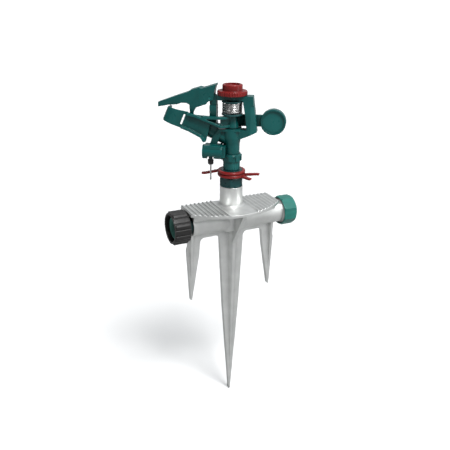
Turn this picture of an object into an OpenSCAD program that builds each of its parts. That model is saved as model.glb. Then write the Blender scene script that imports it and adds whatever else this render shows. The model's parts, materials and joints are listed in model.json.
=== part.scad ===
// Impact sprinkler on a cast step spike, with a hose inlet and a capped outlet.
// Origin: riser axis at the underside of the web between the spikes (the soil line). +Z up, inlet at -X.
// The head's own frame: x along the jet, y towards the arm's side, z up; it is turned by head_yaw.

/* [Step casting] */
// Half length of the step plate
plate_half = 49.5; // [46:0.5:54]
// Height of the step plate's top above the soil line
plate_z = 31.5; // [31:0.5:34]
// Thickness of the step plate
plate_t = 3; // [2.5:0.5:4]
// Step plate's back edge, from the riser axis
plate_back = 15; // [14:0.5:17]
// Step plate's front edge at its middle, from the riser axis
plate_front = 33; // [31:0.5:35]
// Radius of the plate's curved front edge
plate_arc = 69; // [66:1:75]
// Ridges on each wing of the plate
ridge_n = 8; // [6:1:9]
// Height of a ridge
ridge_h = 1.2; // [0.8:0.1:1.6]
// Height of the water tube's axis
tube_z = 15.5; // [15:0.5:17]
// Outer radius of the water tube
tube_r = 11.6; // [11:0.1:12]
// Radius of the riser
riser_r = 11.6; // [11.2:0.1:12]
// Height of the riser's top
riser_top = 52; // [50:0.5:54]
// Reach of the middle spike below the soil line
mid_spike = 197; // [180:1:205]
// Reach of an outer spike below the soil line
side_spike = 69; // [60:1:80]
// Distance of an outer spike's tip from the riser axis
side_x = 46; // [44:0.5:48]

/* [Hose fittings] */
// Radius across the corners of the inlet nut
nut_r = 17.2; // [17:0.1:18.6]
// Mouth of the inlet nut, from the riser axis
nut_x = 67; // [65:0.5:68]
// Wall radius of the inlet nut's 3/4 inch hose thread
hose_r = 13.5; // [13.4:0.05:13.6]
// Radius of the outlet cap
cap_r = 15.7; // [15.5:0.1:17]
// Rim of the outlet cap, from the riser axis
cap_x = 56.5; // [56:0.5:58]
// Length of the outlet cap
cap_l = 15.5; // [15.5:0.5:18]
// Pitch of the 3/4 inch hose thread
hose_pitch = 2.209; // [2.2:0.001:2.22]

/* [Bearing] */
// Radius across the corners of the bearing nipple's hexagon
hex_r = 12.7; // [12.2:0.1:13.2]
// Radius of the nipple's stem
stem_r = 5.2; // [5:0.1:5.4]
// Outer radius of a trip collar
collar_r = 13.9; // [13.6:0.1:15]
// Outer radius of the lugged bearing nut
bearing_r = 10; // [9.6:0.1:10.4]
// Outer radius of the head's neck
neck_r = 7.8; // [7.6:0.1:8]

/* [Head] */
// Angle of the jet from the inlet-to-outlet line
head_yaw = 146; // [140:1:150]
// Rise of the jet above level
jet_rise = 23; // [21:0.5:25]
// Outer radius of the barrel
barrel_r = 6.6; // [6.4:0.1:6.8]
// Underside of the frame's top bar
bar_z = 137.5; // [136:0.5:139]
// Top of the frame's top bar
bar_top = 142; // [141:0.5:143]
// Half depth of the frame
frame_d = 6; // [5:0.2:6]
// Radius of the fulcrum pin
pin_r = 2; // [1.8:0.1:2.1]
// Radius of the spring adjuster's ring
ring_r = 14.5; // [14:0.1:14.8]
// Radius of the spring adjuster's grip
grip_r = 9.7; // [9:0.1:10]
// Top of the spring adjuster
head_top = 152.5; // [151:0.5:154]

/* [Arm] */
// Radius of the counterweight
weight_r = 12.5; // [12:0.1:13]
// Centre of the counterweight, behind the axis
weight_x = 39.4; // [38.5:0.1:41]
// Distance of the arm's plate in front of the axis
arm_y = 8; // [7.8:0.1:8.4]
// Thickness of the arm's plate
arm_t = 2; // [1.6:0.1:2.8]
// Depth of the arm's flanges
flange_d = 3.4; // [2:0.2:4]

/* [Hidden] */
$fn = 64;
eps = 0.01;

// running clearance of a pin or stem in its bore
run = 0.05;
// clearance between neighbouring pieces of different bodies
gap = 0.4;

hex_z = riser_top;
hex_h = 10;
seat_z = hex_z + hex_h;
seat_r = 10.8;
seat_h = 7;
collar_t = 2.9;
sleeve_h = 8.2;
sleeve_z = seat_z + seat_h + gap;
nut_z = sleeve_z + sleeve_h;
nut_lip = 4;
neck_z = nut_z + nut_lip;
nut_top = nut_z + 7.8;
neck_bore = 6.8;
washer_t = 1.2;
head_flange_z = neck_z + 3 * washer_t + 0.1;

jet_z = 98;
platform_z = 110.5;
hub_z = platform_z + gap;
hub_h = 12.6;
bush_r = 3.2;
spring_lo = hub_z + hub_h + 1.8;
spring_hi = bar_z - 2.2;
spring_r = 9.2;

thread_end = cap_x + 12;
spud_r = 9.5;
spud_bore = 7;
spud_flange = 12;
nut_back = 50;
hose_depth = 7.4;
washer_r = 12.5;
flange_x = nut_x - hose_depth - 2.4;

trip_y = 8.5;
trip_z = 88;
trip_r = 7;
trip_end = 25.8;
wire_x = 19.6;

flap_x = 21;
flap_z = 139.5;
flap_pin_r = 1.2;

teal = [0.12, 0.41, 0.39];
dark_teal = [0.05, 0.24, 0.25];
pale_teal = [0.25, 0.54, 0.50];
metal = [0.76, 0.77, 0.76];
steel = [0.62, 0.63, 0.64];
red = [0.62, 0.17, 0.14];
black = [0.14, 0.14, 0.14];

// everything on the head is drawn in the head's own frame
module in_head() {
    rotate([0, 0, head_yaw]) children();
}

// a shape drawn in x and z, thickened from y0 to y1
module side_plate(y0, y1) {
    translate([0, y1, 0]) rotate([90, 0, 0]) linear_extrude(y1 - y0) children();
}

// a cylinder that lies along x
module along_x(x0, x1, r, fn = 64) {
    translate([x0, 0, 0]) rotate([0, 90, 0]) cylinder(h = x1 - x0, r = r, $fn = fn);
}

// a washer that lies along x
module ring_x(x0, x1, r_out, r_in) {
    difference() {
        along_x(x0, x1, r_out);
        along_x(x0 - 1, x1 + 1, r_in);
    }
}

// an upright ring
module ring_z(z0, z1, r_out, r_in) {
    translate([0, 0, z0]) difference() {
        cylinder(h = z1 - z0, r = r_out);
        translate([0, 0, -1]) cylinder(h = z1 - z0 + 2, r = r_in);
    }
}

// points of a helix's tube section number i of n
function coil_ring(i, n, turns, r, z0, z1, w, sides) = [for (k = [0:sides - 1])
    let (a = 360 * turns * i / n, b = 360 * k / sides, rr = r + w * cos(b))
    [rr * cos(a), rr * sin(a), z0 + w + (z1 - z0 - 2 * w) * i / n + w * sin(b)]];

// a closed helical spring from z0 to z1, wire radius w
module coil(turns, r, z0, z1, w, per_turn = 20, sides = 8) {
    n = round(turns * per_turn);
    points = [for (i = [0:n]) each coil_ring(i, n, turns, r, z0, z1, w, sides)];
    walls = [for (i = [0:n - 1], k = [0:sides - 1])
        let (k2 = (k + 1) % sides)
        [i * sides + k, (i + 1) * sides + k, (i + 1) * sides + k2, i * sides + k2]];
    ends = [[for (k = [0:sides - 1]) k], [for (k = [sides - 1:-1:0]) n * sides + k]];
    polyhedron(points, concat(walls, ends), convexity = 8);
}

// ---- step casting ----

module plate_outline() {
    intersection() {
        translate([-plate_half, -plate_front - 1]) square([2 * plate_half, plate_front + plate_back + 1]);
        translate([0, plate_arc - plate_front]) circle(r = plate_arc, $fn = 128);
    }
}

module ridges() {
    inner = 13.5;
    pitch = (plate_half - inner) / ridge_n;
    for (side = [0, 1], i = [0:ridge_n - 1])
        mirror([side, 0, 0]) translate([inner + i * pitch, 0, plate_z - eps])
            rotate([90, 0, 0]) translate([0, 0, -plate_back]) linear_extrude(plate_front + plate_back)
                polygon([[0.4, 0], [pitch - 0.6, 0], [pitch - 0.9, ridge_h], [pitch - 2, ridge_h]]);
}

module ridged_plate() {
    translate([0, 0, plate_z - plate_t]) linear_extrude(plate_t) plate_outline();
    intersection() {
        translate([0, 0, plate_z - plate_t]) linear_extrude(plate_t + ridge_h + 1) plate_outline();
        ridges();
    }
}

// outline of the web and the blades, in x and z
module blades() {
    arch = 5;
    root = 13.4;
    side_in = 35.5;
    difference() {
        translate([-plate_half + 1.5, -arch]) square([2 * plate_half - 3, arch + tube_z]);
        for (side = [-1, 1]) {
            translate([side * (root + side_in) / 2, -arch])
                square([side_in - root - 2 * arch, 2 * arch], center = true);
            for (x = [root + arch, side_in - arch]) translate([side * x, -arch]) circle(r = arch);
        }
    }
    polygon([[-root, -arch + eps], [root, -arch + eps], [9.3, -83], [0.7, -mid_spike], [-0.7, -mid_spike],
        [-9.3, -83]]);
    for (side = [-1, 1]) polygon([[side * side_in, -arch + eps], [side * (plate_half - 1.5), -arch + eps],
        [side * (plate_half + 0.5), -12], [side * (side_x + 0.8), -side_spike],
        [side * (side_x - 0.8), -side_spike], [side * (side_in + 1.2), -18]]);
}

// a spike's rib: a six-sided section that shrinks to the tip
module rib(x, z_top, half, nose, depth, z_tip) {
    section = [[-half, 0], [-nose, -depth], [nose, -depth], [half, 0], [nose, depth], [-nose, depth]];
    hull() {
        translate([x, 0, z_top - 1]) linear_extrude(1) polygon(section);
        translate([x, 0, z_tip]) linear_extrude(1) polygon(section * 0.14);
    }
}

module outlet_thread() {
    root_r = 12.2;
    along_x(cap_x - 12, cap_x + 0.4, tube_r);
    along_x(cap_x, thread_end, root_r);
    for (i = [0:4]) translate([cap_x + 0.6 + i * hose_pitch, 0, 0]) rotate([0, 90, 0])
        rotate_extrude() polygon([[root_r - 1, 0], [root_r - eps, 0], [13.2, 0.7], [13.2, 1.2], [root_r - eps, 1.9],
            [root_r - 1, 1.9]]);
}

// the tube from inlet to outlet, the boss below the riser and the riser, without their bores
module tube_outside() {
    translate([0, 0, tube_z]) along_x(-plate_half + 3.5, plate_half - 4, tube_r);
    translate([0, 0, tube_z]) outlet_thread();
    translate([0, 0, 6.5]) cylinder(h = plate_z - 7, r = 13);
    translate([0, 0, 4]) cylinder(h = 2.5 + eps, r1 = 10, r2 = 13);
    translate([0, 0, plate_z - 1]) cylinder(h = riser_top - plate_z + 1, r = riser_r);
    // foot ring of the riser
    translate([0, 0, plate_z - eps]) cylinder(h = 1.6, r1 = riser_r + 2.4, r2 = riser_r);
}

// water way from inlet to outlet and up the riser
module water_way() {
    translate([0, 0, tube_z]) along_x(-plate_half - 5, -plate_half + 22, spud_r);
    translate([0, 0, tube_z]) along_x(-plate_half + 21, thread_end + 1, spud_bore);
    translate([0, 0, tube_z]) cylinder(h = plate_z, r = spud_bore);
    translate([0, 0, riser_top - 14]) cylinder(h = 15, r = 9.6);
}

// the plate and the flat cheeks that carry it on the tube
module plate_outside() {
    ridged_plate();
    translate([-plate_half + 4, -9.5, tube_z]) cube([2 * plate_half - 8, 19, plate_z - tube_z - 1]);
}

module step_plate() {
    color(metal) difference() {
        plate_outside();
        tube_outside();
    }
}

module water_tube() {
    color(metal) difference() {
        tube_outside();
        water_way();
    }
}

module spike_web() {
    rib_half = 3.5;
    color(metal) difference() {
        union() {
            side_plate(-2.4, 2.4) blades();
            rib(0, tube_z, 6.4, 1.7, 9.6, -mid_spike);
            for (side = [-1, 1]) rib(side * side_x, tube_z, rib_half, 1.5, 7.6, -side_spike);
            // gusset from the plate's front edge down to the middle rib
            rotate([0, 0, -90]) side_plate(-2.2, 2.2)
                polygon([[4, plate_z - 1], [plate_front - 1.6, plate_z - 1], [plate_front - 1.6, plate_z - 5], [8.6, -9],
                    [4, -22]]);
        }
        plate_outside();
        tube_outside();
        water_way();
    }
}

// ---- inlet ----

module inlet_spud() {
    color(dark_teal) translate([0, 0, tube_z]) difference() {
        union() {
            along_x(-flange_x, -plate_half + 21.5, spud_r);
            along_x(-flange_x, -flange_x + 1.6, spud_flange);
        }
        along_x(-nut_x, 0, spud_bore);
    }
}

module swivel_nut() {
    flutes = 8;
    color(black) translate([0, 0, tube_z]) difference() {
        union() {
            translate([-nut_x + 1.2, 0, 0]) rotate([0, 90, 0])
                rotate([0, 0, 22.5]) cylinder(h = nut_x - nut_back - 2.4, r = nut_r, $fn = flutes);
            along_x(-nut_x, -nut_back, nut_r * cos(22.5) - 0.1);
        }
        along_x(-nut_x - 1, -nut_x + hose_depth, hose_r);
        // room for the washer and the spud's flange, then the running bore
        along_x(-nut_x, -flange_x + 1.9, washer_r + gap);
        along_x(-nut_x, -nut_back + 1, spud_r + run);
        // grip grooves on the flats
        for (a = [0:360 / flutes:359], s = [-1, 1]) rotate([a, 0, 0]) translate([-nut_x - 1, s * 3.1, nut_r * cos(22.5)])
            along_x(0, nut_x, 0.7, 24);
    }
}

module hose_washer() {
    color(pale_teal) translate([0, 0, tube_z]) ring_x(-nut_x + hose_depth, -flange_x, washer_r, 7.95);
}

// ---- outlet ----

module end_cap() {
    sides = 8;
    color(pale_teal) translate([cap_x, 0, tube_z]) difference() {
        union() {
            translate([0.9, 0, 0]) rotate([0, 90, 0]) rotate([0, 0, 22.5])
                cylinder(h = cap_l - 2.4, r = cap_r, $fn = sides);
            along_x(0, cap_l - 0.8, cap_r * cos(22.5) + 0.25);
            along_x(0, cap_l, cap_r * cos(22.5) - 0.9);
        }
        along_x(-1, cap_l - 2, hose_r + 0.1);
    }
}

module cap_washer() {
    color(black) translate([0, 0, tube_z]) ring_x(thread_end + 0.05, cap_x + cap_l - 2.1, 12.9, 7.95);
}

// ---- bearing ----

module bearing_nipple() {
    color(dark_teal) difference() {
        union() {
            translate([0, 0, riser_top - 13]) cylinder(h = 13.5, r = 9.6);
            translate([0, 0, hex_z]) cylinder(h = 1.6, r = 11.4);
            translate([0, 0, hex_z + 1.2]) cylinder(h = hex_h - 2, r = hex_r, $fn = 6);
            translate([0, 0, hex_z + hex_h - 1]) cylinder(h = 1, r = 11.4);
            translate([0, 0, seat_z - eps]) cylinder(h = seat_h, r = seat_r);
            translate([0, 0, seat_z]) cylinder(h = head_flange_z + 2 - seat_z, r = stem_r);
            translate([0, 0, head_flange_z]) cylinder(h = 2, r = neck_bore - 0.4);
        }
        translate([0, 0, riser_top - 14]) cylinder(h = 60, r = 3.6);
    }
}

module nipple_seal() {
    color(black) ring_z(riser_top - 14, riser_top - 13, 9.5, 4.5);
}

// a tapered tab along x that rises or falls by tilt at its end
module trip_tab(z, tilt, reach) {
    root = collar_r - 2;
    intersection() {
        side_plate(-4, 4) polygon([[root, z + 0.3], [reach - 3, z + 0.3 + tilt], [reach, z + 0.6 + tilt],
            [reach, z + 2.3 + tilt], [reach - 3, z + 2.5 + tilt], [root, z + collar_t - 0.3]]);
        translate([0, 0, z - 9]) linear_extrude(18)
            polygon([[root - 1, -2.4], [reach - 4, -1.7], [reach + 1, -2], [reach + 1, 2], [reach - 4, 1.7], [root - 1, 2.4]]);
    }
}

// a friction ring with tabs that the trip wire meets
module trip_collar(z, angles, tilts, reach) {
    color(red) difference() {
        union() {
            translate([0, 0, z]) cylinder(h = collar_t, r = collar_r - 0.5);
            translate([0, 0, z + 0.5]) cylinder(h = collar_t - 1, r = collar_r);
            for (i = [0:len(angles) - 1]) rotate([0, 0, angles[i]]) trip_tab(z, tilts[i], reach[i]);
        }
        translate([0, 0, z - 1]) cylinder(h = collar_t + 2, r = seat_r + run);
    }
}

module lower_trip_collar() {
    trip_collar(seat_z + 0.4, [head_yaw + 150, head_yaw + 174], [-1, 1.8], [24, 28.5]);
}

module upper_trip_collar() {
    trip_collar(seat_z + 0.8 + collar_t, [head_yaw + 3], [-3.4], [30]);
}

module bearing_spring() {
    color(steel) coil(5, 6.6, seat_z + seat_h + 0.05, nut_z - 0.05, 0.55, 16, 6);
}

module spring_sleeve() {
    ribs = 20;
    color(teal) difference() {
        union() {
            translate([0, 0, sleeve_z]) cylinder(h = nut_z - sleeve_z, r = 8);
            for (i = [0:ribs - 1]) rotate([0, 0, i * 360 / ribs]) translate([7.5, -0.35, sleeve_z + 0.6])
                cube([0.9, 0.7, nut_z - sleeve_z - 0.6]);
        }
        translate([0, 0, sleeve_z - 1]) cylinder(h = 10, r = 7.3);
    }
}

module bearing_nut() {
    lugs = 8;
    color(teal) difference() {
        union() {
            translate([0, 0, nut_z]) cylinder(h = nut_top - nut_z, r = bearing_r - 1);
            translate([0, 0, nut_z + 5.2]) cylinder(h = 1.6, r = bearing_r - 0.4);
            for (i = [0:lugs - 1]) rotate([0, 0, i * 360 / lugs + 11])
                translate([bearing_r - 2.2, -1.9, nut_z + 0.8]) cube([2.2, 3.8, 6]);
        }
        translate([0, 0, nut_z - 1]) cylinder(h = 10, r = stem_r + run);
        translate([0, 0, neck_z]) cylinder(h = 10, r = neck_r);
    }
}

module bearing_washers() {
    color(black) for (i = [0:2])
        ring_z(neck_z + i * washer_t, neck_z + (i + 1) * washer_t - 0.02, neck_bore - 0.2, stem_r + run);
}

// ---- head ----

// places children at the start of the jet's axis, with x along the jet
module on_jet() {
    translate([0, 0, jet_z]) rotate([0, -jet_rise, 0]) children();
}

// silhouette of the frame: top bar, posts and bottom bar, in x and z
module frame_outline() {
    difference() {
        polygon([[-20.3, bar_top], [-24.6, 107.3], [-6, 99.5], [6, 99.5], [12, 104], [21, 111], [21.5, bar_z + 1],
            [24.5, bar_z + 1], [24.5, bar_top]]);
        polygon([[-10.6, bar_z], [-13.4, 122.5], [-14.8, platform_z - 1], [-8.5, platform_z - 1], [-8.5, platform_z],
            [12.5, platform_z], [14.6, 114], [14.6, bar_z]]);
    }
}

module frame() {
    difference() {
        side_plate(-frame_d, frame_d) frame_outline();
        // narrow neck for the flap's hinge
        for (s = [0, 1]) mirror([0, s, 0]) translate([14.2, 3.8, 132.5]) cube([14, 10, 14]);
        // the rear post's outer face slopes back from a ridge
        translate([-18.4, frame_d, 95]) rotate([0, 0, 225 - 12]) translate([0, -12, 0]) cube([16, 12, 38.5]);
    }
}

module trip_housing() {
    translate([0, trip_y, trip_z]) along_x(8, trip_end, trip_r);
    // saddle above the drum and its web to the neck
    translate([5, 2, trip_z - 5]) cube([20, 10, 11.2]);
    translate([9, 1.5, trip_z + 4]) cube([16.5, 13.2, 3]);
    // strut from the platform down to the housing
    side_plate(3.4, 7.4) polygon([[8.5, platform_z], [12.4, platform_z], [18.6, 101.5], [21, 94], [14, 94]]);
}

module flap_lugs() {
    side_plate(-3, 3) polygon([[17.5, bar_top - 1], [18.6, flap_z + 3.6], [23.4, flap_z + 3.6], [24.4, bar_top - 1]]);
}

module sprinkler_body() {
    color(teal) in_head() difference() {
        union() {
            translate([0, 0, neck_z]) cylinder(h = platform_z - neck_z, r = neck_r);
            // shoulder that carries the neck out to the frame
            translate([0, 0, 95]) cylinder(h = 6, r1 = neck_r, r2 = neck_r + 1.2);
            translate([0, 0, 101 - eps]) cylinder(h = platform_z - 101, r = neck_r + 1.2);
            on_jet() along_x(0, 44, barrel_r);
            on_jet() along_x(38, 44, barrel_r + 0.5);
            frame();
            // platform under the arm's hub, with its bead
            translate([-8.5, -8.4, platform_z - 2.4]) cube([21, 16.8, 2.4]);
            trip_housing();
            flap_lugs();
        }
        translate([0, 0, neck_z - 1]) cylinder(h = 16.4, r = neck_bore);
        ring_z(nut_z, nut_top + 0.1, bearing_r + 0.2, neck_r);
        on_jet() along_x(-1, 45, 4);
        on_jet() along_x(36, 46, 5.4);
        // fulcrum pin's seat and the adjuster's bore
        translate([0, 0, platform_z - 6]) cylinder(h = 10, r = pin_r);
        translate([0, 0, bar_z - 1]) cylinder(h = 10, r = 5);
        // trip housing: drum bore, pin bore, slot for the lever
        translate([0, trip_y, trip_z]) along_x(10.5, 28, trip_r - 1.4);
        translate([0, trip_y, trip_z]) along_x(7.5, 12, 1.2);
        translate([wire_x - 3.4, trip_y - 4.5, trip_z - trip_r - 2]) cube([6.8, 10.5, trip_r]);
        // flap pin
        translate([flap_x, 10, flap_z]) rotate([90, 0, 0]) cylinder(h = 20, r = flap_pin_r);
    }
}

module nozzle() {
    color(black) in_head() on_jet() difference() {
        union() {
            along_x(36.2, 45, 5.4);
            translate([44, 0, 0]) rotate([0, 90, 0]) cylinder(h = 2.2, r1 = 6, r2 = 5);
        }
        along_x(36, 47, 3.2);
    }
}

module fulcrum_pin() {
    color(steel) in_head() {
        translate([0, 0, platform_z - 6]) cylinder(h = bar_top + 3 - platform_z + 6, r = pin_r);
    }
}

// ---- arm ----

// side view of the arm's plate, in x and z
module arm_outline() {
    polygon([[9, 112.6], [20, 115.2], [24, 98.4], [26.5, 98.2], [29.3, 102.4], [41.2, 108.3], [48.7, 111],
        [44.6, 122.2], [40.8, 124.2], [30, 123.4], [9, 122.6]]);
}

// bars that stand out of the plate along the ridge and the lower edge
module arm_flanges() {
    polygon([[41.7, 126.2], [34, 124.2], [18.2, 118.2], [9, 114.6], [9, 112.2], [18.2, 116], [34, 121.8],
        [42.5, 123.6]]);
    polygon([[24, 98.4], [26.5, 98.2], [29.3, 102.4], [41.2, 108.3], [48.7, 111], [48, 113.1], [40.4, 110.3],
        [28.2, 104.4], [24.4, 100.6]]);
}

// plan view of a bar from the hub to the plate
module hub_bar(z, reach) {
    translate([0, 0, z]) linear_extrude(2.4)
        polygon([[0, 4.5], [4.5, 1.5], [11, arm_y], [reach, arm_y], [reach, arm_y + arm_t + flange_d],
            [10, arm_y + arm_t + flange_d - 0.8], [3, 8.6]]);
}

// plan of the spoon in the jet's frame: a shallow bow across the jet, bent back at its end
module spoon_plan() {
    polygon([[46, arm_y + arm_t], [52, arm_y + arm_t], [56, 10.9], [60, 11.3], [64, 10.9], [67, 9.7], [69, 7.6],
        [69.9, 4.5], [70.2, 0], [69.9, -8], [67.6, -8], [67.9, 0], [67.6, 4], [66.6, 6.4], [65, 7.8], [62, 8.9],
        [58, 8.9], [54, 8.4], [52, arm_y], [46, arm_y]]);
}

// the spoon's outline seen from the side, in the jet's frame
module spoon_side() {
    translate([0, 15, 0]) rotate([90, 0, 0]) linear_extrude(9)
        polygon([[45.5, -7], [51, -7.6], [72, -8.3], [72, 5.1], [49.4, 9.7], [45.5, 8.8]]);
    translate([0, 6.01, 0]) rotate([90, 0, 0]) linear_extrude(20)
        polygon([[60, -8], [72, -8.3], [72, 4.2], [60, 4.2]]);
}

module spoon() {
    on_jet() difference() {
        intersection() {
            translate([0, 0, -12]) linear_extrude(26) spoon_plan();
            spoon_side();
        }
        // slot between the plate and the spoon
        translate([50.3, 0, -4.4]) cube([1.9, 20, 10.8]);
    }
}

module impact_arm() {
    color(teal) in_head() difference() {
        union() {
            // flared hub
            translate([0, 0, hub_z]) rotate_extrude() polygon([[0, 0], [6.6, 0], [6.6, 1], [5.6, 6], [5.1, hub_h],
                [0, hub_h]]);
            // plate in front of the front post, with its web and bars to the hub
            difference() {
                side_plate(arm_y, arm_y + arm_t) arm_outline();
                side_plate(arm_y - 1, arm_y + arm_t + 1)
                    polygon([[25, 120.9], [8, 120.9], [8, 115.4], [18.2, 118.6]]);
            }
            hub_bar(120.5, 27);
            hub_bar(112.2, 10.5);
            side_plate(arm_y + arm_t - eps, arm_y + arm_t + flange_d) arm_flanges();
            translate([0, 0, 112.6]) linear_extrude(10)
                polygon([[-1, 3], [3, 0.5], [10.4, arm_y], [10.4, arm_y + 0.8], [9, arm_y + 0.8]]);
            spoon();
            // beam behind the rear post, with its web to the hub
            translate([0, 0, hub_z]) linear_extrude(11.4)
                polygon([[-1, -2], [1.5, -4.5], [-10.4, -10.6], [-29, -10.6], [-29, -7.6], [-11.4, -7.6]]);
            translate([-weight_x, -6, 115.8]) rotate([90, 0, 0]) cylinder(h = 7.4, r = weight_r);
        }
        translate([0, 0, hub_z - 1]) cylinder(h = hub_h + 2, r = bush_r);
        // recess of the counterweight
        translate([-weight_x, -5, 115.8]) rotate([90, 0, 0]) cylinder(h = 4.2, r = weight_r - 1.8);
    }
}

module upper_arm_bushing() {
    color(black) in_head() ring_z(hub_z + hub_h - 5, hub_z + hub_h, bush_r, pin_r + run);
}

module lower_arm_bushing() {
    color(black) in_head() ring_z(hub_z, hub_z + 5, bush_r, pin_r + run);
}

module counterweight_cover() {
    color(teal) in_head() translate([-weight_x, -7.4, 115.8]) rotate([90, 0, 0])
        cylinder(h = 1.8, r = weight_r - 1.8);
}

module lower_spring_seat() {
    color(dark_teal) in_head() ring_z(hub_z + hub_h, hub_z + hub_h + 1.4, 10.2, pin_r + 0.4);
}

module arm_spring() {
    color(steel) in_head() coil(6, spring_r, spring_lo, spring_hi, 0.6, 20, 6);
}

module upper_spring_seat() {
    color(dark_teal) in_head() difference() {
        union() {
            translate([0, 0, bar_z - 1.8]) cylinder(h = 1.4, r = 10.2);
            translate([0, 0, bar_z - 1]) cylinder(h = bar_top - bar_z + 1, r = 5 - run);
        }
        translate([0, 0, bar_z - 4]) cylinder(h = 12, r = pin_r + run);
    }
}

module adjuster_cap() {
    knurls = 36;
    step_z = 146.6;
    color(red) in_head() difference() {
        union() {
            translate([0, 0, bar_top + 0.3]) cylinder(h = step_z - bar_top - 0.3, r = ring_r - 0.5);
            for (i = [0:knurls - 1]) rotate([0, 0, i * 360 / knurls]) translate([ring_r - 1, -0.6, bar_top + 0.8])
                cube([1, 1.2, step_z - bar_top - 1.4]);
            translate([0, 0, step_z - 1]) cylinder(h = head_top - step_z + 0.4, r = grip_r);
            translate([0, 0, head_top - 1]) cylinder(h = 1, r = grip_r - 0.6);
        }
        translate([0, 0, bar_top - 1]) cylinder(h = 5, r = pin_r + 0.4);
        translate([0, 0, head_top - 1.6]) cylinder(h = 2, r = grip_r - 2.4);
    }
}

// ---- flap ----

// side view of the flap, in x and z
module flap_outline() {
    polygon([[14.6, 152.6], [28.6, 148.2], [31.4, 149], [40.6, 146], [41.6, 144.6], [56, 139.6], [72.6, 133.4],
        [72.8, 128.8], [62.6, 131], [53.4, 132], [48.8, 133.8], [44, 133.8], [41, 132.4], [40.5, 121.8], [37.2, 121.6],
        [36.6, 126], [34.2, 130.1], [30, 131.6], [24.6, 133.4], [22.6, 136.2], [17.6, 137.6], [16.4, 147.4]]);
}

// the hood's hollow underside
module flap_hollow() {
    polygon([[17, 120], [17, 148.6], [28.6, 145.4], [41, 142.4], [56, 137], [68, 132.4], [68, 120]]);
}

// plan view: the hood narrows from its hinge to its tip
module flap_plan(root, tip) {
    translate([0, 0, 115]) linear_extrude(45)
        polygon([[10, -root], [31, -root], [74, -tip], [74, tip], [31, root], [10, root]]);
}

module deflector_flap() {
    half = 6.6;
    color(teal) in_head() difference() {
        intersection() {
            side_plate(-half, half) flap_outline();
            flap_plan(half, 2.2);
        }
        intersection() {
            side_plate(-half, half) flap_hollow();
            flap_plan(half - 1.9, 0.6);
        }
        // the back wall has no leg
        side_plate(-half - 1, -half + 3) polygon([[31, 110], [31, 132.4], [46, 132.4], [46, 110]]);
        translate([flap_x, 10, flap_z]) rotate([90, 0, 0]) cylinder(h = 20, r = flap_pin_r + run);
    }
}

module flap_pin() {
    color(steel) in_head() translate([flap_x, 6.4, flap_z]) rotate([90, 0, 0]) cylinder(h = 12.8, r = flap_pin_r);
}

// ---- trip ----

module trip_lever() {
    color(dark_teal) in_head() difference() {
        union() {
            translate([0, trip_y, trip_z]) along_x(11, trip_end - 2.4, trip_r - 1.8);
            translate([wire_x, trip_y, trip_z - 10]) cylinder(h = 8, r = 1.9);
        }
        translate([0, trip_y, trip_z]) along_x(10, 26, 1.2 + run);
        translate([wire_x, trip_y, trip_z - 12]) cylinder(h = 9, r = 0.8);
    }
}

module trip_pin() {
    color(steel) in_head() translate([0, trip_y, trip_z]) along_x(7.8, trip_end + 0.6, 1.2);
}

module trip_housing_cover() {
    color(teal) in_head() translate([0, trip_y, trip_z]) difference() {
        union() {
            along_x(trip_end, trip_end + 1.4, trip_r);
            along_x(trip_end - 0.8, trip_end + 0.1, trip_r - 1.4);
        }
        along_x(trip_end - 1, trip_end + 0.6, 1.2);
    }
}

module toggle_spring() {
    color(steel) in_head() translate([trip_end - 2.3, trip_y, trip_z]) rotate([0, 90, 0]) coil(1.6, 2.6, 0, 1.3, 0.25, 16, 6);
}

module wire_ferrule() {
    color(black) in_head() translate([wire_x, trip_y, trip_z - 12]) difference() {
        union() {
            cylinder(h = 4.2, r = 2.9);
            translate([0, 0, -0.8]) cylinder(h = 0.8 + eps, r1 = 2, r2 = 2.9);
        }
        translate([0, 0, -2]) cylinder(h = 4.01, r = 0.8);
        translate([0, 0, 2]) cylinder(h = 4, r = 1.9);
    }
}

module trip_wire() {
    color(steel) in_head() translate([wire_x, trip_y, 59.3]) cylinder(h = trip_z - 3 - 59.3, r = 0.8);
}

step_plate();
water_tube();
spike_web();
inlet_spud();
swivel_nut();
hose_washer();
end_cap();
cap_washer();
bearing_nipple();
nipple_seal();
lower_trip_collar();
upper_trip_collar();
bearing_spring();
spring_sleeve();
bearing_nut();
bearing_washers();
sprinkler_body();
nozzle();
fulcrum_pin();
impact_arm();
upper_arm_bushing();
lower_arm_bushing();
counterweight_cover();
lower_spring_seat();
arm_spring();
upper_spring_seat();
adjuster_cap();
deflector_flap();
flap_pin();
trip_lever();
trip_pin();
trip_housing_cover();
toggle_spring();
wire_ferrule();
trip_wire();
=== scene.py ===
import json
import math

import bmesh
import bpy
from mathutils import Matrix, Vector


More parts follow.
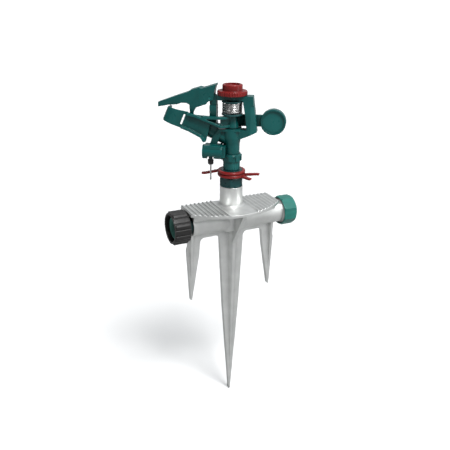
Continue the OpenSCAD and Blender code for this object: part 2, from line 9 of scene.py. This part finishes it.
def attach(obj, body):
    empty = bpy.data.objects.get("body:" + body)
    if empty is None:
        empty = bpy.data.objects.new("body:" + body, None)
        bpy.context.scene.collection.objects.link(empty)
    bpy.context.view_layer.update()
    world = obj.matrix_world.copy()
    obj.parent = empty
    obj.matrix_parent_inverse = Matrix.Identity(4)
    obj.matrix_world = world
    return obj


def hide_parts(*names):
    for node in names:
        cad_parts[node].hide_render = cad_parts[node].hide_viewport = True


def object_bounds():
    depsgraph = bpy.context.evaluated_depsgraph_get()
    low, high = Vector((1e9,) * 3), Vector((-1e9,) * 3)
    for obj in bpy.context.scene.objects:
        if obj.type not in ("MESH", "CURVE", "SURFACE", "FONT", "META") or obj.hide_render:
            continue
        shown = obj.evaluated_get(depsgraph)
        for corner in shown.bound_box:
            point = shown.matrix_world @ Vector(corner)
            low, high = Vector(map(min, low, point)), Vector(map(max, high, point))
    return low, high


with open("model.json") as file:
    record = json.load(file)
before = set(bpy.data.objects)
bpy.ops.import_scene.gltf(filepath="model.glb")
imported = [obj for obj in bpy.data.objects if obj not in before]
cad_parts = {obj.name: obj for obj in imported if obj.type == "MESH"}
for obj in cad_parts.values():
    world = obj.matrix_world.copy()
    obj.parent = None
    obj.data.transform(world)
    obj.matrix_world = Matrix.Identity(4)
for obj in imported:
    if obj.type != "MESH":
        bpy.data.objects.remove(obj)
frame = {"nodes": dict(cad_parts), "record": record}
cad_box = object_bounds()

MM = 0.001
NODES = frame["nodes"]

# ---- camera: the viewing angle of a product picture, from the front and a little to the inlet's side ----

CAMERA_AT = Vector((-250.0, -504.5, 240.7)) * MM
CAMERA_TURN = 25.76
CAMERA_TILT = 22.46
CAMERA_ROLL = 0.55
CAMERA_LENS = 46.83


def make_camera():
    """The camera at its fitted place, turned about Z, tilted down and rolled a little."""
    a, e, r = (math.radians(v) for v in (CAMERA_TURN, CAMERA_TILT, CAMERA_ROLL))
    back = Vector((-math.sin(a) * math.cos(e), -math.cos(a) * math.cos(e), math.sin(e)))
    right = Vector((math.cos(a), -math.sin(a), 0))
    up = back.cross(right)
    right, up = right * math.cos(r) + up * math.sin(r), up * math.cos(r) - right * math.sin(r)
    data = bpy.data.cameras.new("camera")
    data.lens = CAMERA_LENS
    data.sensor_width = 36
    data.clip_start = 0.01
    camera = bpy.data.objects.new("camera", data)
    bpy.context.scene.collection.objects.link(camera)
    camera.matrix_world = Matrix((right, up, back)).transposed().to_4x4()
    camera.location = CAMERA_AT
    bpy.context.scene.camera = camera


# ---- studio ----

def area_light(name, place, aim, size, power):
    data = bpy.data.lights.new(name, "AREA")
    data.shape = "RECTANGLE"
    data.size, data.size_y = size
    data.energy = power
    light = bpy.data.objects.new(name, data)
    bpy.context.scene.collection.objects.link(light)
    light.location = place
    light.rotation_mode = "QUATERNION"
    light.rotation_quaternion = (Vector(aim) - Vector(place)).to_track_quat("-Z", "Y")


def make_world():
    """A dome, brighter overhead and darker on the inlet's side. The camera itself sees it as white."""
    world = bpy.data.worlds.new("world")
    world.use_nodes = True
    add = node_maker(world.node_tree)
    way = add("ShaderNodeTexCoord").outputs["Generated"]
    parts = add("ShaderNodeSeparateXYZ", Vector=way)
    glow = add("ShaderNodeMapRange", Value=parts.outputs["Z"], From_Min=0.0, From_Max=0.9,
               To_Min=0.3, To_Max=0.66)
    side = add("ShaderNodeMapRange", Value=parts.outputs["X"], From_Min=-0.9, From_Max=0.5,
               To_Min=0.3, To_Max=1.25)
    glow = chain(world.node_tree, "ShaderNodeMath", "MULTIPLY", glow.outputs["Result"], side.outputs["Result"])
    seen = add("ShaderNodeLightPath").outputs["Is Camera Ray"]
    glow = chain(world.node_tree, "ShaderNodeMath", "MAXIMUM", glow, seen)
    background = world.node_tree.nodes["Background"]
    background.inputs["Color"].default_value = (0.95, 0.98, 1.0, 1)
    world.node_tree.links.new(glow, background.inputs["Strength"])
    bpy.context.scene.world = world


def make_floor():
    """A plain white sweep. It throws back less light than it shows, as black flags beside it would."""
    z = cad_box[0].z - 0.5 * MM
    reach = 40
    corners = [(-reach, -reach, z), (reach, -reach, z), (reach, reach, z), (-reach, reach, z)]
    mesh = bpy.data.meshes.new("floor")
    mesh.from_pydata(corners, [], [(0, 1, 2, 3)])
    floor = bpy.data.objects.new("floor", mesh)
    bpy.context.scene.collection.objects.link(floor)
    m = bpy.data.materials.new("floor")
    m.use_nodes = True
    add = node_maker(m.node_tree)
    seen = add("ShaderNodeLightPath").outputs["Is Camera Ray"]
    tone = add("ShaderNodeMapRange", Value=seen, To_Min=0.38, To_Max=0.98)
    shader = m.node_tree.nodes["Principled BSDF"]
    shader.inputs["Roughness"].default_value = 1
    shader.inputs["Specular IOR Level"].default_value = 0
    m.node_tree.links.new(tone.outputs["Result"], shader.inputs["Base Color"])
    mesh.materials.append(m)


def make_studio():
    bpy.context.scene.view_settings.view_transform = "Standard"
    make_world()
    make_floor()
    sun = bpy.data.lights.new("sun", "SUN")
    sun.energy = 2.6
    sun.angle = math.radians(25)
    lamp = bpy.data.objects.new("sun", sun)
    bpy.context.scene.collection.objects.link(lamp)
    lamp.rotation_mode = "QUATERNION"
    lamp.rotation_quaternion = Vector((-0.1, 0.6, -0.95)).to_track_quat("-Z", "Y")
    area_light("side", (0.75, -0.8, 0.25), (0, 0, -0.02), (0.3, 0.8), 1.3)


# ---- materials ----

def node_maker(tree):
    """A short way to add a shader node and set its sockets."""
    def add(kind, **sockets):
        node = tree.nodes.new(kind)
        for name, value in sockets.items():
            name = name.replace("_", " ")
            if isinstance(value, bpy.types.NodeSocket):
                tree.links.new(value, node.inputs[name])
            else:
                node.inputs[name].default_value = value
        return node
    return add


def chain(tree, kind, operation, first, second):
    """A math node, or a colour mix at full strength."""
    node = tree.nodes.new(kind)
    if kind == "ShaderNodeMath":
        node.operation = operation
        ends = (node.inputs[0], node.inputs[1])
        out = node.outputs[0]
    else:
        node.data_type = "RGBA"
        node.blend_type = operation
        node.inputs["Factor"].default_value = 1
        ends = (node.inputs["A"], node.inputs["B"])
        out = node.outputs["Result"]
    for end, value in zip(ends, (first, second)):
        if isinstance(value, bpy.types.NodeSocket):
            tree.links.new(value, end)
        else:
            end.default_value = value
    return out


def material(name, colour, rough, metallic=0.0, vary=0.12, grain=0.4, grain_size=0.35, streak=0.0,
             coat=0.0, edge=0.0, recess=0.75, reach=6.0):
    """A moulded or cast finish, with blotches, painted shade in recesses, paler edges as a painted highlight,
    uneven gloss and fine grain.
    """
    m = bpy.data.materials.new(name)
    m.use_nodes = True
    tree = m.node_tree
    add = node_maker(tree)
    shader = tree.nodes["Principled BSDF"]
    shader.inputs["Metallic"].default_value = metallic
    shader.inputs["Specular IOR Level"].default_value = 0.35
    shader.inputs["Coat Weight"].default_value = coat
    shader.inputs["Coat Roughness"].default_value = 0.2
    place = add("ShaderNodeTexCoord").outputs["Object"]
    blotch = add("ShaderNodeTexNoise", Vector=place, Scale=90.0, Detail=4.0)
    tone = add("ShaderNodeMapRange", Value=blotch.outputs["Fac"], From_Min=0.3, From_Max=0.7,
               To_Min=1 - vary, To_Max=1 + vary).outputs["Result"]
    # painted shade: the colour is darkened where surfaces face each other, as ambient occlusion finds
    occlusion_shade = add("ShaderNodeAmbientOcclusion", Distance=reach * MM)
    occlusion_shade.samples = 6
    open_share = add("ShaderNodeMapRange", Value=occlusion_shade.outputs["AO"], From_Min=0.25, From_Max=0.95,
                     To_Min=1 - recess, To_Max=1.0).outputs["Result"]
    tone = chain(tree, "ShaderNodeMath", "MULTIPLY", tone, open_share)
    base = chain(tree, "ShaderNodeMix", "MULTIPLY", (*colour, 1), tone)
    # painted highlight: convex edges, found by pointiness, are mixed toward a paler copy of the colour
    if edge:
        rim = add("ShaderNodeNewGeometry").outputs["Pointiness"]
        edge_highlight_share = add("ShaderNodeMapRange", Value=rim, From_Min=0.53, From_Max=0.62, To_Max=edge)
        edge_highlight_mix = add("ShaderNodeMix")
        edge_highlight_mix.data_type = "RGBA"
        edge_highlight_mix.inputs["B"].default_value = (*[min(1, c * 2.2 + 0.02) for c in colour], 1)
        tree.links.new(edge_highlight_share.outputs["Result"], edge_highlight_mix.inputs["Factor"])
        tree.links.new(base, edge_highlight_mix.inputs["A"])
        base = edge_highlight_mix.outputs["Result"]
    tree.links.new(base, shader.inputs["Base Color"])
    gloss = add("ShaderNodeTexNoise", Vector=place, Scale=260.0, Detail=3.0)
    uneven = add("ShaderNodeMapRange", Value=gloss.outputs["Fac"], From_Min=0.3, From_Max=0.7,
                 To_Min=max(0.02, rough - 0.07), To_Max=min(1, rough + 0.07))
    tree.links.new(uneven.outputs["Result"], shader.inputs["Roughness"])
    height = add("ShaderNodeTexNoise", Vector=place, Scale=1 / (grain_size * MM), Detail=2.0).outputs["Fac"]
    if streak:
        stretch = add("ShaderNodeMapping", Vector=place, Scale=(1400, 1400, 60))
        lines = add("ShaderNodeTexNoise", Vector=stretch.outputs["Vector"], Scale=1.0, Detail=3.0)
        height = chain(tree, "ShaderNodeMath", "ADD", height,
                       chain(tree, "ShaderNodeMath", "MULTIPLY", lines.outputs["Fac"], streak))
    bump = add("ShaderNodeBump", Height=height, Strength=grain, Distance=0.00012)
    tree.links.new(bump.outputs["Normal"], shader.inputs["Normal"])
    return m


TEAL = (0.002, 0.104, 0.098)
DARK_TEAL = (0.003, 0.050, 0.052)
CAP_TEAL = (0.018, 0.19, 0.158)
RED = (0.26, 0.013, 0.012)
METAL = (0.80, 0.81, 0.795)


def make_materials():
    def make(name, *args, **kind):
        return name, material(name, *args, **kind)
    # among the settings below are the strength of each finish's painted shade in recesses and of the painted
    # highlight on its edges
    return dict((
        make("cast_metal", METAL, 0.4, metallic=0.85, vary=0.07, grain=0.45, grain_size=0.5, streak=1.2,
             edge=0.25, recess=0.6, reach=5.0),
        make("teal_plastic", TEAL, 0.33, grain=0.2, coat=0.12, edge=0.4, recess=0.85, reach=9.0),
        make("dark_teal_plastic", DARK_TEAL, 0.38, grain=0.2),
        make("nipple_plastic", DARK_TEAL, 0.3, grain=0.2, coat=0.2, edge=0.5),
        make("nut_plastic", (0.022, 0.021, 0.021), 0.42, grain=0.35, edge=0.35, recess=0.7),
        make("cap_plastic", CAP_TEAL, 0.36, grain=0.25, coat=0.1, edge=0.2, recess=0.8),
        make("washer_rubber", (0.06, 0.20, 0.165), 0.6, grain=0.4, recess=0.2),
        make("black_rubber", (0.02, 0.02, 0.02), 0.65, grain=0.4),
        make("red_plastic", RED, 0.33, grain=0.22, coat=0.1, edge=0.35, recess=0.7),
        make("black_plastic", (0.015, 0.015, 0.016), 0.4, grain=0.3, edge=0.2),
        make("spring_steel", (0.6, 0.6, 0.59), 0.25, metallic=1.0, grain=0.2, grain_size=0.2, recess=0.5,
             reach=2.0),
    ))


def slot_of(node):
    return next(s["material_slot"] for s in frame["record"]["subparts"] if s["node"] == node)


def paint_nodes(materials):
    for name, node in NODES.items():
        m = materials[slot_of(name)]
        node.data.materials.clear()
        node.data.materials.append(m)
    # the flap's pin is painted like the flap, so that its end does not show as bare steel
    NODES["flap_pin"].data.materials[0] = materials["teal_plastic"]


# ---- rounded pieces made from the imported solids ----

def body_of(node):
    return next(b for b, nodes in frame["record"]["behaviour"]["bodies"].items() if node in nodes)


def hand_over(piece, nodes):
    """Gives a piece its finish, body and slot, and lets it stand for its CAD nodes."""
    piece.data.materials.clear()
    piece.data.materials.append(MATERIALS[slot_of(nodes[0])])
    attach(piece, body_of(nodes[0]))
    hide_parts(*nodes)
    return piece


def rounded(nodes, name, voxel, smooth, keep):
    """Solids joined into one skin with rounded edges and inner corners, as a casting or moulding has."""
    mesh = bpy.data.meshes.new(name)
    bm = bmesh.new()
    for node in nodes:
        bm.from_mesh(NODES[node].data)
    bmesh.ops.remove_doubles(bm, verts=bm.verts, dist=0.002 * MM)
    bm.to_mesh(mesh)
    bm.free()
    piece = bpy.data.objects.new(name, mesh)
    bpy.context.scene.collection.objects.link(piece)
    remesh = piece.modifiers.new("remesh", "REMESH")
    remesh.mode = "VOXEL"
    remesh.voxel_size = voxel * MM
    soften = piece.modifiers.new("soften", "SMOOTH")
    soften.factor = 0.5
    soften.iterations = smooth
    thin = piece.modifiers.new("thin", "DECIMATE")
    thin.ratio = keep
    now = bpy.context.evaluated_depsgraph_get()
    shape = bpy.data.meshes.new_from_object(piece.evaluated_get(now))
    piece.modifiers.clear()
    piece.data = shape
    for polygon in shape.polygons:
        polygon.use_smooth = True
    return hand_over(piece, nodes)


def from_quads(name, bm):
    """A new object from a built mesh: four-cornered faces shade smooth, end caps stay flat."""
    bmesh.ops.recalc_face_normals(bm, faces=bm.faces)
    mesh = bpy.data.meshes.new(name)
    bm.to_mesh(mesh)
    bm.free()
    for polygon in mesh.polygons:
        polygon.use_smooth = len(polygon.vertices) == 4
    piece = bpy.data.objects.new(name, mesh)
    bpy.context.scene.collection.objects.link(piece)
    return piece


def tube(name, path, radius, sides, nodes):
    """A round wire along a path of points, with each end drawn in a little and closed flat."""
    bm = bmesh.new()
    rings = []
    for i, p in enumerate(path):
        before, after = path[max(0, i - 1)], path[min(len(path) - 1, i + 1)]
        along = (after - before).normalized()
        across = along.cross(Vector((0, 0, 1)) if abs(along.z) < 0.9 else Vector((1, 0, 0))).normalized()
        other = along.cross(across)
        r = radius * (0.7 if i in (0, len(path) - 1) else 1)
        rings.append([bm.verts.new(p + r * (math.cos(t) * across + math.sin(t) * other))
                      for t in (2 * math.pi * k / sides for k in range(sides))])
    for lower, upper in zip(rings, rings[1:]):
        for k in range(sides):
            bm.faces.new((lower[k], lower[(k + 1) % sides], upper[(k + 1) % sides], upper[k]))
    bm.faces.new(rings[0][::-1])
    bm.faces.new(rings[-1])
    return hand_over(from_quads(name, bm), nodes)


def spring(name, node, radius, wire, turns, z0, z1):
    """A wound spring about the head's axis, with a closed part turn at each end."""
    dead = 0.75
    steps = turns * 40
    path = []
    for i in range(steps + 1):
        turn = turns * i / steps
        open_share = min(max((turn - dead) / (turns - 2 * dead), 0), 1)
        rise = 2 * wire * (min(turn, dead) + max(0, turn - turns + dead))
        z = z0 + wire + rise + open_share * (z1 - z0 - 2 * wire - 4 * wire * dead)
        a = 2 * math.pi * turn
        path.append(Vector((radius * math.cos(a), radius * math.sin(a), z)) * MM)
    return tube(name, path, wire * MM, 10, [node])


def washer_bead(name):
    """A soft lip on the hose washer, turned about the water tube's axis. Its outline is (x, radius)."""
    tube_axis_z = 15.5
    outline = [(-59.7, 7.8), (-59.7, 12.2), (-60.3, 12.4), (-61.6, 12.2), (-62.7, 11.8), (-63.3, 11.2),
               (-63.5, 10.4), (-63.3, 9.6), (-62.7, 9.0), (-61.6, 8.4), (-60.5, 8.0)]
    bm = bmesh.new()
    turns = 64
    rings = []
    for k in range(turns):
        t = 2 * math.pi * k / turns
        rings.append([bm.verts.new(Vector((x, r * math.cos(t), tube_axis_z + r * math.sin(t))) * MM)
                      for x, r in outline])
    for k in range(turns):
        one, two = rings[k], rings[(k + 1) % turns]
        for i in range(len(outline)):
            j = (i + 1) % len(outline)
            bm.faces.new((one[i], one[j], two[j], two[i]))
    piece = from_quads(name, bm)
    piece.data.materials.append(MATERIALS["washer_rubber"])
    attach(piece, "stand")


make_camera()
MATERIALS = make_materials()
make_studio()
paint_nodes(MATERIALS)

rounded(["step_plate", "water_tube", "spike_web"], "stand_casting", 0.32, 1, 0.18)
rounded(["sprinkler_body"], "head_moulding", 0.28, 2, 0.2)
rounded(["impact_arm"], "arm_moulding", 0.25, 2, 0.2)
rounded(["deflector_flap"], "flap_moulding", 0.3, 3, 0.2)
rounded(["adjuster_cap"], "adjuster_moulding", 0.22, 2, 0.25)
rounded(["end_cap"], "cap_moulding", 0.3, 3, 0.2)
rounded(["swivel_nut"], "nut_moulding", 0.3, 2, 0.2)
rounded(["lower_trip_collar"], "lower_collar_moulding", 0.25, 3, 0.25)
rounded(["upper_trip_collar"], "upper_collar_moulding", 0.25, 3, 0.25)
rounded(["bearing_nipple"], "nipple_moulding", 0.28, 2, 0.25)
rounded(["bearing_nut"], "bearing_nut_moulding", 0.22, 2, 0.25)
washer_bead("hose_washer_bead")
spring("arm_spring_wire", "arm_spring", 9.2, 0.6, 6, 125.35, 135.25)
spring("bearing_spring_wire", "bearing_spring", 6.6, 0.55, 5, 69.1, 77.5)
